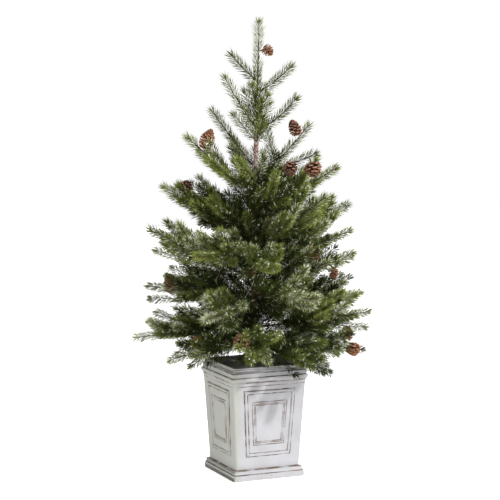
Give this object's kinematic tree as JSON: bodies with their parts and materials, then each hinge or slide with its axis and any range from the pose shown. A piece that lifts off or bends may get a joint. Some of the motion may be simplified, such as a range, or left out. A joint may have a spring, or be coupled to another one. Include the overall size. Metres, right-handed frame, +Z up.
{
  "type": "artificial potted pine tree",
  "caption": "Small artificial pine tree with frosted needles and pine cones on a thin pole, standing in a square tapered planter with raised panels.",
  "frame": {"origin": "middle of the planter's flat underside", "axes": "+Z up the pole, +X and +Y square to the planter's sides, -Y out of its front"},
  "size_m": [0.6344, 0.5505, 1.22],
  "materials": {
    "whitewash": "brushed whitewash with brown grime in the grooves",
    "dark_filling": "rough dark filling",
    "bark": "rough brown bark",
    "needles": "matt green needles, part frosted"
  },
  "bodies": {
    "root": {"pot": "whitewash", "pot_filling": "dark_filling", "trunk": "bark", "bough_middle_right": "bark", "bough_low_left_high": "bark", "bough_low_right_high": "bark", "bough_low_back_high": "bark", "bough_low_front_high": "bark", "bough_low_left": "bark", "bough_low_front_right": "bark", "bough_low_right": "bark", "bough_low_back_left": "bark", "bough_low_back_right": "bark", "bough_low_front_left": "bark", "bough_foot_left": "bark", "bough_foot_right": "bark", "bough_foot_back": "bark", "bough_foot_front": "bark", "bough_foot_left_front": "bark", "bough_foot_right_side": "bark", "bough_foot_right_front": "bark", "foliage_top_left": "needles", "foliage_top_right": "needles", "foliage_upper_left_high": "needles", "foliage_upper_right_high": "needles", "foliage_upper_front": "needles", "foliage_upper_back": "needles", "foliage_upper_left": "needles", "foliage_upper_right": "needles", "foliage_middle_back_high": "needles", "foliage_middle_left_high": "needles", "foliage_middle_right_high": "needles", "foliage_middle_front_high": "needles", "foliage_middle_front_right": "needles", "foliage_middle_back_right": "needles", "foliage_middle_left": "needles", "foliage_middle_right_inner": "needles", "foliage_middle_back": "needles", "foliage_middle_right_front": "needles", "foliage_middle_front_left": "needles", "foliage_middle_right": "needles", "foliage_low_left_high": "needles", "foliage_middle_right_low": "needles", "foliage_low_right_high": "needles", "foliage_low_back_high": "needles", "foliage_low_front_high": "needles", "foliage_low_left": "needles", "foliage_low_front_right": "needles", "foliage_low_right": "needles", "foliage_low_back_left": "needles", "foliage_low_back_right": "needles", "foliage_low_front_left": "needles", "foliage_foot_left": "needles", "foliage_foot_right": "needles", "foliage_foot_back": "needles", "foliage_foot_front": "needles", "foliage_foot_left_front": "needles", "foliage_foot_right_side": "needles", "foliage_foot_right_front": "needles", "foliage_leader": "needles"}
  },
  "joints": []
}
